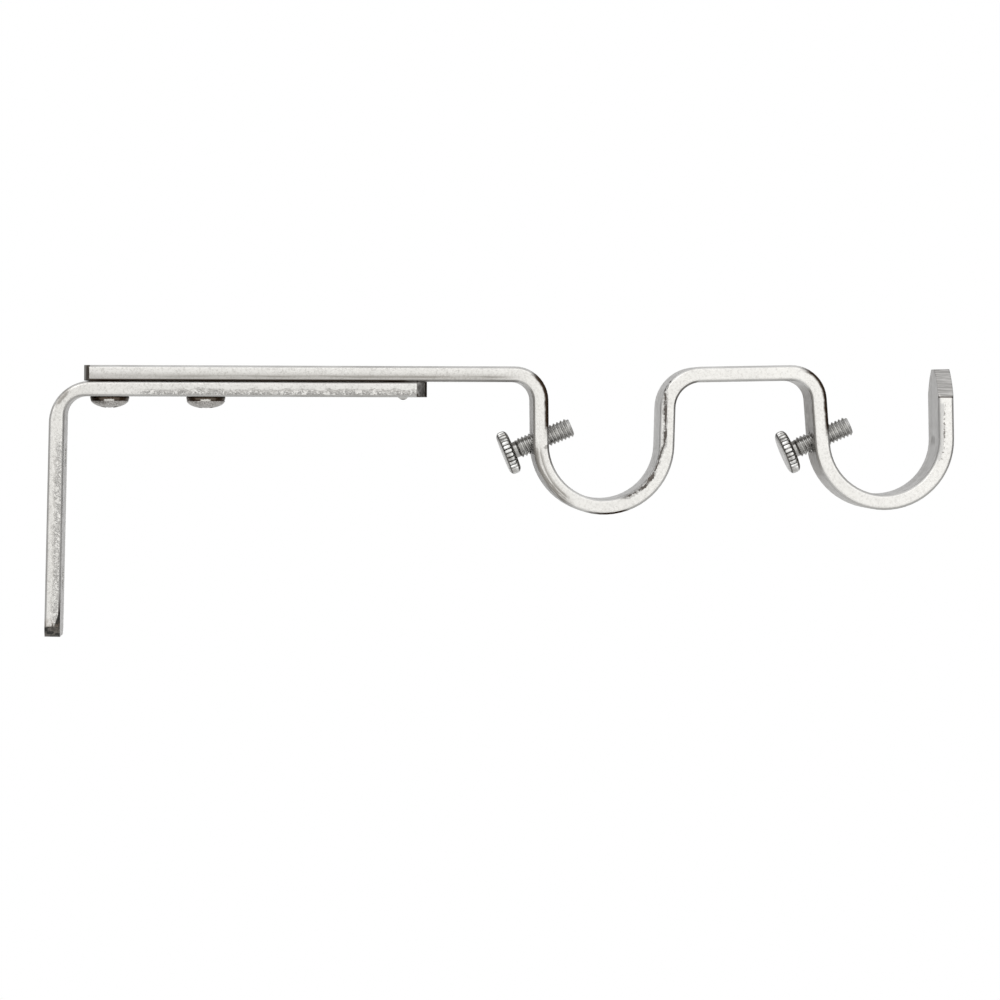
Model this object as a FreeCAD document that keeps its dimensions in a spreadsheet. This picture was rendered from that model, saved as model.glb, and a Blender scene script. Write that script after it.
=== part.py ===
# Adjustable double curtain pole bracket of bent flat steel bar
# Row frame: X away from the wall, Y along the poles, Z up, in millimetres
# Origin: centre of the two wall screw holes, on the leg's back face
import FreeCAD, Part
import math
import os
import Sketcher

V = FreeCAD.Vector
Placement = FreeCAD.Placement
Rotation = FreeCAD.Rotation

# Driving dimensions in mm and degrees: name, value, meaning
SIZES = [
    ("bar_width", 15.875, "width of both flat bars"),
    ("bar_thickness", 3.175, "thickness of both flat bars"),
    ("edge_break", 0.4, "width and height broken off the bars' long edges"),
    ("arm_rise", 1.2, "slope of the two long bars above level"),
    ("arm_gap", 0.05, "running gap between the two bars"),
    ("leg_drop", 52.7, "leg's lower end below the bars' meeting face, at the wall"),
    ("heel_inner_radius", 4.0, "inside radius of the bend between leg and shelf"),
    ("heel_outer_radius", 8.8, "outside radius of that bend, where the bar is drawn thin"),
    ("shelf_reach", 77.5, "end of the shelf from the wall, along the shelf"),
    ("plan_corner", 2.2, "what the clips take off both sides of the wall bracket's corners"),
    ("plan_corner_radius", 5.0, "radius of those clips' crowned cut"),
    ("wall_hole_radius", 2.5, "radius of the wall screw holes"),
    ("wall_hole_spacing", 25.4, "spacing of the wall screw holes"),
    ("wall_hole_foot", 12.0, "lower wall hole above the leg's lower end"),
    ("arm_start", 7.0, "wall end of the cradle arm, along the arm"),
    ("arm_straight", 88.5, "straight run of the cradle arm up to the rear cradle"),
    ("arm_end_corner", 1.1, "what the clips take off both sides of the arm's wall end"),
    ("arm_end_radius", 3.0, "radius of those clips' crowned cut"),
    ("tip_clip", 5.8, "what the clips take off both sides of the tip's corners"),
    ("tip_clip_radius", 14.0, "radius of those clips' crowned cut"),
    ("rear_shoulder_radius", 3.85, "inside radius of the bend into the rear cradle"),
    ("rear_back_lean", 0.7, "outward lean of the rear cradle's back wall"),
    ("rear_back_run", 9.15, "straight run of the rear cradle's back wall"),
    ("rear_seat_radius", 11.4, "inside radius of the rear cradle's seat"),
    ("rear_front_lean", 1.4, "outward lean of the rear cradle's front wall"),
    ("rear_front_run", 7.9, "straight run of the rear cradle's front wall"),
    ("bridge_rear_radius", 5.45, "inside radius of the bend from rear cradle to bridge"),
    ("bridge_rise", 1.2, "slope of the bridge above the arm's line"),
    ("bridge_run", 18.6, "straight run of the bridge"),
    ("bridge_front_radius", 4.2, "inside radius of the bend from bridge to front cradle"),
    ("front_back_lean", 4.4, "outward lean of the front cradle's back wall"),
    ("front_back_run", 9.5, "straight run of the front cradle's back wall"),
    ("front_seat_radius", 11.33, "inside radius of the front cradle's seat"),
    ("tip_lean", 1.2, "lean of the raised tip back towards the wall"),
    ("tip_run", 14.45, "straight run of the raised tip"),
    ("screw_radius", 2.08, "outside radius of the thread on all four screws"),
    ("screw_clearance", 0.05, "radial clearance of a screw in its tapped hole"),
    ("slot_clearance", 0.1, "radial clearance of the adjusting screws in the slot"),
    ("slot_end_play", 0.3, "room left at each end of the slot"),
    ("slot_margin", 10.65, "end of the screws' way in the slot, before the shelf's end"),
    ("adjusting_reach", 12.0, "inner adjusting screw from the wall, along the arm"),
    ("adjusting_spacing", 19.85, "spacing of the adjusting screws"),
    ("adjusting_length", 6.2, "adjusting screw's length under its head"),
    ("screw_end_chamfer", 0.35, "chamfer of the adjusting screw's end"),
    ("pan_radius", 4.05, "radius of the pan head"),
    ("pan_rim", 0.45, "height of the pan head's upright rim"),
    ("pan_height", 2.4, "height of the pan head"),
    ("recess_span", 4.4, "length across the cross recess"),
    ("recess_width", 1.0, "width of the cross recess's arms"),
    ("recess_depth", 1.4, "depth of the cross recess"),
    ("recess_taper", 8.0, "draft of the cross recess's walls"),
    ("recess_turn", 45.0, "turn of the cross recess against the bars"),
    ("stop_margin", 4.8, "stop pip before the shelf's end"),
    ("stop_radius", 1.3, "radius of the stop pip's dome"),
    ("stop_height", 0.55, "height of the stop pip under the shelf"),
    ("rear_screw_tilt", 22.4, "slope of the rear thumb screw above the arm's line"),
    ("front_screw_tilt", 23.3, "slope of the front thumb screw above the arm's line"),
    ("rear_screw_rise", 0.9, "rear thumb screw hole above the start of its seat"),
    ("front_screw_rise", 1.1, "front thumb screw hole above the start of its seat"),
    ("thumb_standoff", 5.7, "thumb screw head from the middle of the cradle's wall"),
    ("thumb_length", 12.9, "thumb screw's length under its head"),
    ("thumb_point", 0.45, "chamfer of the thumb screw's point"),
    ("neck_length", 0.75, "length of the plain neck under the thumb screw's head"),
    ("neck_radius", 1.7, "radius of the plain neck"),
    ("knurl_radius", 4.6, "radius over the knurl of the thumb screw's head"),
    ("thumb_head_height", 2.4, "height of the thumb screw's head"),
    ("thumb_head_face", 3.95, "radius of the head's flat faces"),
    ("thumb_head_chamfer", 0.4, "height of the chamfers beside the knurl"),
    ("knurl_count", 30, "number of knurl grooves"),
    ("knurl_depth", 0.36, "depth of a knurl groove"),
    ("knurl_width", 0.65, "width of a knurl groove at the rim"),
]

doc = FreeCAD.newDocument("double_pole_bracket")
sheet = doc.addObject("Spreadsheet::Sheet", "Sizes")
for row, (name, value, meaning) in enumerate(SIZES, start=1):
    sheet.set("A%d" % row, meaning)
    sheet.set("B%d" % row, str(value))
    sheet.setAlias("B%d" % row, name)
doc.recompute()


def number(expression):
    """What an expression of the sheet's sizes works out to, in mm or degrees."""
    result = sheet.evalExpression(expression)
    return float(getattr(result, "Value", result))


# Sizes that follow from the driving ones
MID = "Sizes.bar_thickness / 2"
FOOT = "(Sizes.wall_hole_foot + Sizes.wall_hole_spacing / 2)"
MEETING = "(Sizes.leg_drop - " + FOOT + ")"
HEEL = "(Sizes.heel_inner_radius + Sizes.bar_thickness / 2)"
HEEL_TURN = "(90 - Sizes.arm_rise)"
HEEL_SETBACK = HEEL + " * tan(" + HEEL_TURN + " / 2)"
BORE = "(Sizes.screw_radius + Sizes.screw_clearance)"
SLOT = "(Sizes.screw_radius + Sizes.slot_clearance)"


# Sketches and features

def new_body(name):
    body = doc.addObject("PartDesign::Body", name)
    body.Label = name
    return body


def origin_plane(body, role):
    return next(item for item in body.Origin.OriginFeatures if item.Role == role)


def attach(item, body, role, offset=None):
    """Lays a sketch or primitive on one of its body's origin planes."""
    item.AttachmentSupport = [(origin_plane(body, role), "")]
    item.MapMode = "FlatFace"
    if offset is not None:
        item.AttachmentOffset = offset
    return item


def new_sketch(body, name, role, offset=None):
    return attach(body.newObject("Sketcher::SketchObject", name), body, role, offset)


def bind(sketch, constraint, expression):
    """Adds a sized constraint and ties it to the sheet."""
    index = sketch.addConstraint(constraint)
    sketch.setExpression("Constraints[%d]" % index, expression)


def pin_point(sketch, curve, end, across, upward):
    """Holds the end of a curve at two signed expressions from the sketch's origin."""
    for kind, expression, axis in (("DistanceX", across, -2), ("DistanceY", upward, -1)):
        value = number(expression)
        if expression == "0":
            sketch.addConstraint(Sketcher.Constraint("PointOnObject", curve, end, axis))
        else:
            bind(sketch, Sketcher.Constraint(kind, -1, 1, curve, end, value), expression)


def arc_centre(start, end, radius):
    """Centre of the arc from start to end: left of its chord, or on the upright axis."""
    if radius is None:
        rise = (end.x ** 2 - start.x ** 2 + end.y ** 2 - start.y ** 2) / 2
        return V(0, rise / (end.y - start.y), 0)
    chord = end - start
    inward = V(-chord.y, chord.x, 0).normalize()
    return (start + end) / 2 + inward * math.sqrt(number(radius) ** 2 - chord.Length ** 2 / 4)


def outline(sketch, corners, arc_after=None, radius=None):
    """Closed outline through corners. The side after corner 'arc_after' is an arc that
    turns left, of that radius, or else with its centre on the sketch's upright axis."""
    points = [V(number(across), number(upward), 0) for across, upward in corners]
    sides = []
    for index, start in enumerate(points):
        end = points[(index + 1) % len(points)]
        if index == arc_after:
            centre = arc_centre(start, end, radius)
            angles = [math.atan2(p.y - centre.y, p.x - centre.x) for p in (start, end)]
            circle = Part.Circle(centre, V(0, 0, 1), (start - centre).Length)
            curve = sketch.addGeometry(Part.ArcOfCircle(circle, *angles), False)
            if radius is None:
                sketch.addConstraint(Sketcher.Constraint("PointOnObject", curve, 3, -2))
            else:
                bind(sketch, Sketcher.Constraint("Radius", curve, number(radius)), radius)
        else:
            curve = sketch.addGeometry(Part.LineSegment(start, end), False)
        sides.append(curve)
    for index, curve in enumerate(sides):
        follower = sides[(index + 1) % len(sides)]
        sketch.addConstraint(Sketcher.Constraint("Coincident", curve, 2, follower, 1))
        pin_point(sketch, curve, 1, *corners[index])


def circle_at(sketch, across, upward, radius):
    centre = V(number(across), number(upward), 0)
    circle = Part.Circle(centre, V(0, 0, 1), number(radius))
    curve = sketch.addGeometry(circle, False)
    pin_point(sketch, curve, 3, across, upward)
    bind(sketch, Sketcher.Constraint("Radius", curve, number(radius)), radius)


def volume(body):
    doc.recompute()
    return body.Shape.Volume


def cut(body, name, sketch, depth, reversed_side):
    """Pocket that must take material away."""
    before = volume(body)
    pocket = body.newObject("PartDesign::Pocket", name)
    pocket.Profile = sketch
    pocket.Type = "Length"
    pocket.Length = number(depth)
    pocket.setExpression("Length", depth)
    pocket.Reversed = reversed_side
    if volume(body) > before - 0.01:
        raise RuntimeError(name + " cuts nothing")
    return pocket


# Bent bars: a centreline of straight runs, joined by tangent bends

class Centreline:
    """Runs are (name, length, heading) and radii are those of the bends between them."""

    def __init__(self, start, runs, radii):
        self.start = start
        self.runs = runs
        self.radii = radii
        self.lines = {}
        self.arcs = []
        point = V(number(start[0]), number(start[1]), 0)
        for index, (name, length, heading) in enumerate(runs):
            angle = math.radians(number(heading))
            end = point + V(math.cos(angle), math.sin(angle), 0) * number(length)
            self.lines[name] = (point, end, angle)
            if index < len(radii):
                leaving = math.radians(number(runs[index + 1][2]))
                side = math.copysign(1, leaving - angle)
                radius = number(radii[index])
                centre = end + V(-math.sin(angle), math.cos(angle), 0) * radius * side
                point = centre - V(-math.sin(leaving), math.cos(leaving), 0) * radius * side
                self.arcs.append((centre, radius, angle, leaving, side))

    def length(self):
        straight = sum((end - start).Length for start, end, _ in self.lines.values())
        bent = sum(radius * abs(leaving - angle) for _, radius, angle, leaving, _ in self.arcs)
        return straight + bent

    def place_on(self, run, before_end):
        """Point on a run, so far before the run's end."""
        _, end, angle = self.lines[run]
        return end - V(math.cos(angle), math.sin(angle), 0) * before_end

    def end_frame(self, run, at_start=False):
        """Frame at the end of a run, or at its start: on the centreline, X pointing out
        of the bar and Y across it."""
        start, end, angle = self.lines[run]
        point = start if at_start else end
        turn = math.degrees(angle) + (180 if at_start else 0)
        return Placement(V(point.x, 0, point.y), Rotation(V(0, 1, 0), -turn))

    def draw(self, body, name):
        """Fully constrained path sketch in the body's XZ plane."""
        path = new_sketch(body, name, "XZ_Plane")
        joint = None
        for index, (run, length, heading) in enumerate(self.runs):
            start, end, angle = self.lines[run]
            line = path.addGeometry(Part.LineSegment(start, end), False)
            if joint is None:
                pin_point(path, line, 1, *self.start)
            else:
                path.addConstraint(Sketcher.Constraint("Tangent", *joint, line, 1))
            bind(path, Sketcher.Constraint("Distance", line, number(length)), length)
            if heading == "0":
                path.addConstraint(Sketcher.Constraint("Horizontal", line))
            elif heading == "90":
                path.addConstraint(Sketcher.Constraint("Vertical", line))
            else:
                bind(path, Sketcher.Constraint("Angle", line, angle), heading)
            if index == len(self.arcs):
                break
            centre, radius, arriving, leaving, side = self.arcs[index]
            first, last = (arriving, leaving) if side > 0 else (leaving, arriving)
            first -= side * math.pi / 2
            last -= side * math.pi / 2
            circle = Part.Circle(centre, V(0, 0, 1), radius)
            arc = path.addGeometry(Part.ArcOfCircle(circle, first, last), False)
            near, far = (1, 2) if side > 0 else (2, 1)
            path.addConstraint(Sketcher.Constraint("Tangent", line, 2, arc, near))
            bind(path, Sketcher.Constraint("Radius", arc, radius), self.radii[index])
            joint = (arc, far)
        return path


def bar_section(sketch, low, high):
    """Rectangle with broken corners, between two corners given as expressions."""
    (left, bottom), (right, top) = low, high
    more, less = " + Sizes.edge_break", " - Sizes.edge_break"
    outline(sketch, [
        (left + more, bottom), (right + less, bottom), (right, bottom + more), (right, top + less),
        (right + less, top), (left + more, top), (left, top + less), (left, bottom + more),
    ])


def sweep_bar(body, section, centreline, path):
    """Flat bar along its centreline, checked against section times length."""
    bar = body.newObject("PartDesign::AdditivePipe", body.Label + "_bar")
    bar.Profile = section
    bar.Spine = (path, ["Edge%d" % (n + 1) for n in range(path.GeometryCount)])
    doc.recompute()
    area = number("Sizes.bar_width * Sizes.bar_thickness - 2 * Sizes.edge_break ^ 2")
    expected = area * centreline.length()
    if abs(bar.Shape.Volume / expected - 1) > 0.001:
        raise RuntimeError(body.Label + " has a bad sweep")


def crop_corners(body, name, frame, size, radius):
    """Cuts off both corners of a bar's end along arcs that take size off both sides."""
    above = Placement(V(0, 0, number("Sizes.bar_thickness")), Rotation())
    sketch = new_sketch(body, name, "XY_Plane", frame * above)
    for sign in ("", "-"):
        edge = sign + "Sizes.bar_width / 2"
        past = sign + "(Sizes.bar_width / 2 + Sizes.bar_thickness)"
        inner = sign + "(Sizes.bar_width / 2 - " + size + ")"
        corners = [("-" + size, edge), ("-" + size, past), ("Sizes.bar_thickness", past),
                   ("Sizes.bar_thickness", inner), ("0", inner)]
        if sign:
            corners.reverse()
        outline(sketch, corners, arc_after=len(corners) - 1, radius=radius)
    cut(body, name + "_cut", sketch, "3 * Sizes.bar_thickness", False)


# Frame of the two long bars: origin at the wall on their meeting face, X along
# the bars, Z square to them
along_arm = Placement(V(0, 0, number(MEETING)), Rotation(V(0, 1, 0), -number("Sizes.arm_rise")))


def thin_heel(body):
    """Turns the outside of the leg's bend down to its larger radius."""
    radius = "Sizes.heel_outer_radius"
    profile = new_sketch(body, "heel_profile", "XY_Plane")
    profile.setExpression("AttachmentOffset.Base.x", radius)
    profile.setExpression("AttachmentOffset.Base.z",
                          MEETING + " - " + radius + " * tan(" + HEEL_TURN + " / 2)")
    half, past = "Sizes.bar_width / 2", "-(" + radius + " + Sizes.bar_thickness)"
    flat = "(" + half + " - Sizes.edge_break)"
    beyond = "(" + half + " + Sizes.edge_break)"
    broken = "2 * Sizes.edge_break - " + radius
    outline(profile, [
        ("-" + radius, "-" + flat), (broken, "-" + beyond), (past, "-" + beyond),
        (past, beyond), (broken, beyond), ("-" + radius, flat),
    ])
    before = volume(body)
    groove = body.newObject("PartDesign::Groove", "heel_turned")
    groove.Profile = profile
    groove.ReferenceAxis = (profile, ["V_Axis"])
    groove.Angle = number(HEEL_TURN)
    groove.setExpression("Angle", HEEL_TURN)
    if volume(body) > before - 1:
        raise RuntimeError("the heel stays thick")


def long_slot(body):
    """Slot in the shelf that the adjusting screws slide in."""
    slot = new_sketch(body, "slot", "XY_Plane", along_arm)
    first = "(Sizes.adjusting_reach - Sizes.slot_end_play)"
    last = "(Sizes.shelf_reach - Sizes.slot_margin + Sizes.slot_end_play)"
    radius = number(SLOT)
    near, far = V(number(first), 0, 0), V(number(last), 0, 0)
    up = V(0, radius, 0)
    normal = V(0, 0, 1)
    quarter = math.pi / 2
    slot.addGeometry([
        Part.ArcOfCircle(Part.Circle(near, normal, radius), quarter, 3 * quarter),
        Part.LineSegment(near - up, far - up),
        Part.ArcOfCircle(Part.Circle(far, normal, radius), -quarter, quarter),
        Part.LineSegment(far + up, near + up),
    ], False)
    for curve, end, follower, begin in ((0, 2, 1, 1), (1, 2, 2, 1), (2, 2, 3, 1), (3, 2, 0, 1)):
        slot.addConstraint(Sketcher.Constraint("Tangent", curve, end, follower, begin))
    slot.addConstraint(Sketcher.Constraint("Equal", 0, 2))
    bind(slot, Sketcher.Constraint("Radius", 0, radius), SLOT)
    pin_point(slot, 0, 3, first, "0")
    pin_point(slot, 2, 3, last, "0")
    cut(body, "slot_cut", slot, "Sizes.bar_thickness * 2", False)


def wall_bracket():
    """Leg and shelf in one bent bar, with wall holes, slot and stop pip."""
    body = new_body("wall_bracket")
    leg_run = ("Sizes.leg_drop + " + MID + " * tan(Sizes.arm_rise) - " + MID
               + " / cos(Sizes.arm_rise) - " + HEEL_SETBACK)
    shelf_run = ("Sizes.shelf_reach - " + MID + " * (1 / cos(Sizes.arm_rise) - "
                 + "tan(Sizes.arm_rise)) - " + HEEL_SETBACK)
    runs = [("leg", leg_run, "90"), ("shelf", shelf_run, "Sizes.arm_rise")]
    centreline = Centreline((MID, "-" + FOOT), runs, [HEEL])
    section = new_sketch(body, "leg_section", "XY_Plane")
    section.setExpression("AttachmentOffset.Base.z", "-" + FOOT)
    low, high = ("0", "-Sizes.bar_width / 2"), ("Sizes.bar_thickness", "Sizes.bar_width / 2")
    bar_section(section, low, high)
    path = centreline.draw(body, "bracket_path")
    sweep_bar(body, section, centreline, path)
    thin_heel(body)
    ends = (("leg_corners", centreline.end_frame("leg", at_start=True)),
            ("shelf_corners", centreline.end_frame("shelf")))
    for name, frame in ends:
        crop_corners(body, name, frame, "Sizes.plan_corner", "Sizes.plan_corner_radius")

    holes = new_sketch(body, "wall_holes", "YZ_Plane")
    for side in ("-", ""):
        circle_at(holes, "0", side + "Sizes.wall_hole_spacing / 2", "Sizes.wall_hole_radius")
    cut(body, "wall_hole_cut", holes, "Sizes.bar_thickness * 2", True)
    long_slot(body)

    pip = body.newObject("PartDesign::AdditiveSphere", "stop_pip")
    pip_depth = number("Sizes.bar_thickness + Sizes.stop_height - Sizes.stop_radius")
    pip_reach = number("Sizes.shelf_reach - Sizes.stop_margin")
    centre = Placement(V(pip_reach, 0, -pip_depth), Rotation())
    attach(pip, body, "XY_Plane", along_arm * centre)
    pip.Radius = number("Sizes.stop_radius")
    pip.setExpression("Radius", "Sizes.stop_radius")
    return body


def arm_centreline():
    """Cradle arm's centreline, in the frame of the long bars."""
    start = ("Sizes.arm_start", "Sizes.arm_gap + " + MID)
    runs = [
        ("straight", "Sizes.arm_straight", "0"),
        ("rear_back", "Sizes.rear_back_run", "Sizes.rear_back_lean - 90"),
        ("rear_front", "Sizes.rear_front_run", "90 - Sizes.rear_front_lean"),
        ("bridge", "Sizes.bridge_run", "Sizes.bridge_rise"),
        ("front_back", "Sizes.front_back_run", "Sizes.front_back_lean - 90"),
        ("tip", "Sizes.tip_run", "90 + Sizes.tip_lean"),
    ]
    inside = ["rear_shoulder", "rear_seat", "bridge_rear", "bridge_front", "front_seat"]
    radii = ["Sizes." + bend + "_radius + " + MID for bend in inside]
    return Centreline(start, runs, radii)


def screw_seat(centreline, which):
    """Where a thumb screw's axis crosses the middle of its cradle's back wall,
    as a placement whose X axis is the screw's."""
    rise = number("Sizes." + which + "_screw_rise")
    point = centreline.place_on(which + "_back", rise)
    tilt = number("Sizes." + which + "_screw_tilt")
    return Placement(V(point.x, 0, point.y), Rotation(V(0, 1, 0), -tilt))


def cradle_arm(centreline):
    """Sliding arm with two cradles, two adjusting holes and two thumb screw holes."""
    body = new_body("cradle_arm")
    section = new_sketch(body, "arm_section", "YZ_Plane")
    section.setExpression("AttachmentOffset.Base.z", "Sizes.arm_start")
    bar_section(section, ("-Sizes.bar_width / 2", "Sizes.arm_gap"),
                ("Sizes.bar_width / 2", "Sizes.arm_gap + Sizes.bar_thickness"))
    path = centreline.draw(body, "arm_path")
    sweep_bar(body, section, centreline, path)
    wall_end = centreline.end_frame("straight", at_start=True)
    crop_corners(body, "wall_end_corners", wall_end, "Sizes.arm_end_corner", "Sizes.arm_end_radius")
    tip_end = centreline.end_frame("tip")
    crop_corners(body, "tip_corners", tip_end, "Sizes.tip_clip", "Sizes.tip_clip_radius")

    holes = new_sketch(body, "adjusting_holes", "XY_Plane")
    circle_at(holes, "Sizes.adjusting_reach", "0", BORE)
    circle_at(holes, "Sizes.adjusting_reach + Sizes.adjusting_spacing", "0", BORE)
    cut(body, "adjusting_hole_cut", holes, "Sizes.bar_thickness * 2", True)

    half_cut = "(Sizes.bar_thickness + Sizes.screw_radius)"
    for which in ("rear", "front"):
        seat = screw_seat(centreline, which)
        mouth = seat.multVec(V(-number(half_cut), 0, 0))
        tilt = Rotation(V(1, 0, 0), -number("Sizes." + which + "_screw_tilt"))
        offset = Placement(V(0, mouth.z, mouth.x), tilt)
        hole = new_sketch(body, which + "_screw_hole", "YZ_Plane", offset)
        circle_at(hole, "0", "0", BORE)
        cut(body, which + "_screw_hole_cut", hole, "2 * " + half_cut, True)
    body.Placement = along_arm
    return body


def adjusting_screw(name, reach):
    """Pan head screw, from under the shelf up into the cradle arm."""
    body = new_body(name)
    profile = new_sketch(body, name + "_profile", "XZ_Plane")
    end = "Sizes.adjusting_length"
    chamfer = "Sizes.screw_end_chamfer"
    outline(profile, [
        ("0", "-Sizes.pan_height"),
        ("Sizes.pan_radius", "-Sizes.pan_rim"),
        ("Sizes.pan_radius", "0"),
        ("Sizes.screw_radius", "0"),
        ("Sizes.screw_radius", end + " - " + chamfer),
        ("Sizes.screw_radius - " + chamfer, end),
        ("0", end),
    ], arc_after=0)
    turned = body.newObject("PartDesign::Revolution", name + "_turned")
    turned.Profile = profile
    turned.ReferenceAxis = (profile, ["V_Axis"])
    turned.Angle = 360

    turned_recess = Placement(V(), Rotation(V(0, 0, 1), number("Sizes.recess_turn")))
    recess = new_sketch(body, name + "_recess", "XY_Plane", turned_recess)
    recess.setExpression("AttachmentOffset.Base.z", "-Sizes.pan_height")
    long_side, short_side = "Sizes.recess_span / 2", "Sizes.recess_width / 2"
    outline(recess, [
        (long_side, "-" + short_side), (long_side, short_side), (short_side, short_side),
        (short_side, long_side), ("-" + short_side, long_side), ("-" + short_side, short_side),
        ("-" + long_side, short_side), ("-" + long_side, "-" + short_side),
        ("-" + short_side, "-" + short_side), ("-" + short_side, "-" + long_side),
        (short_side, "-" + long_side), (short_side, "-" + short_side),
    ])
    pocket = cut(body, name + "_recess_cut", recess, "Sizes.recess_depth", True)
    pocket.TaperAngle = -number("Sizes.recess_taper")
    pocket.setExpression("TaperAngle", "-Sizes.recess_taper")
    under_shelf = V(number(reach), 0, -number("Sizes.bar_thickness"))
    body.Placement = along_arm * Placement(under_shelf, Rotation())
    return body


def thumb_screw(name, seat):
    """Knurled screw, turned about its own X axis with its head below X = 0."""
    body = new_body(name)
    profile = new_sketch(body, name + "_profile", "XZ_Plane")
    outline(profile, [
        ("-Sizes.thumb_head_height", "0"),
        ("-Sizes.thumb_head_height", "Sizes.thumb_head_face"),
        ("Sizes.thumb_head_chamfer - Sizes.thumb_head_height", "Sizes.knurl_radius"),
        ("-Sizes.thumb_head_chamfer", "Sizes.knurl_radius"),
        ("0", "Sizes.thumb_head_face"),
        ("0", "Sizes.neck_radius"),
        ("Sizes.neck_length", "Sizes.neck_radius"),
        ("Sizes.neck_length + Sizes.screw_radius - Sizes.neck_radius", "Sizes.screw_radius"),
        ("Sizes.thumb_length - Sizes.thumb_point", "Sizes.screw_radius"),
        ("Sizes.thumb_length", "Sizes.screw_radius - Sizes.thumb_point"),
        ("Sizes.thumb_length", "0"),
    ])
    turned = body.newObject("PartDesign::Revolution", name + "_turned")
    turned.Profile = profile
    turned.ReferenceAxis = (profile, ["H_Axis"])
    turned.Angle = 360

    groove = new_sketch(body, name + "_groove", "YZ_Plane")
    rim, depth, half = "Sizes.knurl_radius", "Sizes.knurl_depth", "Sizes.knurl_width / 2"
    outline(groove, [
        ("0", rim + " - " + depth),
        (half + " * 2", rim + " + " + depth),
        ("-" + half + " * 2", rim + " + " + depth),
    ])
    notch = cut(body, name + "_notch", groove, "Sizes.thumb_head_height", False)
    knurl = body.newObject("PartDesign::PolarPattern", name + "_knurl")
    knurl.Originals = [notch]
    knurl.Axis = (profile, ["H_Axis"])
    knurl.Angle = 360
    knurl.Occurrences = int(number("Sizes.knurl_count"))
    knurl.setExpression("Occurrences", "Sizes.knurl_count")
    body.Tip = knurl
    back_off = Placement(V(-number("Sizes.thumb_standoff"), 0, 0), Rotation())
    body.Placement = along_arm * seat * back_off
    return body


arm_line = arm_centreline()
parts = [
    wall_bracket(),
    cradle_arm(arm_line),
    adjusting_screw("adjusting_screw_inner", "Sizes.adjusting_reach"),
    adjusting_screw("adjusting_screw_outer", "Sizes.adjusting_reach + Sizes.adjusting_spacing"),
    thumb_screw("thumb_screw_rear", screw_seat(arm_line, "rear")),
    thumb_screw("thumb_screw_front", screw_seat(arm_line, "front")),
]
doc.recompute()

for item in doc.Objects:
    if "Invalid" in item.State or "Error" in item.State:
        raise RuntimeError("%s failed: %s" % (item.Label, item.State))
for part in parts:
    if part.Shape.isNull() or not part.Shape.isValid() or len(part.Shape.Solids) != 1:
        raise RuntimeError(part.Label + " is not one valid solid")

os.makedirs("parts", exist_ok=True)
for part in parts:
    part.Shape.exportStep("parts/%s.step" % part.Label)
    print(part.Label, round(part.Shape.Volume, 1), "mm3", part.Shape.BoundBox)
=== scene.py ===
# Looks for the adjustable double curtain pole bracket: satin nickel bars, zinc plated screws
import math
import random

import bmesh
import bpy
from mathutils import Matrix, Vector

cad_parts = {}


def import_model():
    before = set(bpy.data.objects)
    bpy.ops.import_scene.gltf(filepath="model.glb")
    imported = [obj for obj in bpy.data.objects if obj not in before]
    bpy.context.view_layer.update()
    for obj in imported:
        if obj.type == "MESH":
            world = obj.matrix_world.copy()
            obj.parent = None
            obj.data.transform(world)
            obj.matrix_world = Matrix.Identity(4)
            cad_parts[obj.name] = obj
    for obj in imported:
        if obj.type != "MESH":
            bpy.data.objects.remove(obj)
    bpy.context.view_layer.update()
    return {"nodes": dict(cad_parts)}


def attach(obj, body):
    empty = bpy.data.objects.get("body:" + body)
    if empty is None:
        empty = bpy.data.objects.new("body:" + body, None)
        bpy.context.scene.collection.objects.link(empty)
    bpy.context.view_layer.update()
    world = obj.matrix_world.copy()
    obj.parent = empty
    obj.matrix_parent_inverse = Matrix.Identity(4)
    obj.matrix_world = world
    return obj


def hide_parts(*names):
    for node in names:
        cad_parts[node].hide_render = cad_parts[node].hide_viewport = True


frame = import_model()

MM = 0.001

# Places in the frame of the two long bars, in millimetres: U runs along the bars from the
# wall, V stands square to them from their meeting face. The row's Y is shared.
ARM_RISE = math.radians(1.2)
MEETING_HEIGHT = 28.0
BAR_THICKNESS = 3.175
REAR_SEAT = {"centre": (114.04, -12.72), "inside": 11.40}
FRONT_SEAT = {"centre": (172.20, -11.71), "inside": 11.33}
TIP_CLIP_START = -2.8
SHELF_CLIP_START = 75.3
SHELF_FAR_EDGE = 76.95
ARM_CLIP_END = 8.1
LEG_CLIP_END = -22.5
THUMB_SEATS = {
    "rear": {"wall": (101.038, -11.983), "tilt": 22.4},
    "front": {"wall": (159.232, -11.608), "tilt": 23.3},
}
ADJUSTING_REACH = {"inner": 12.0, "outer": 31.85}


# Node helpers

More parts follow.
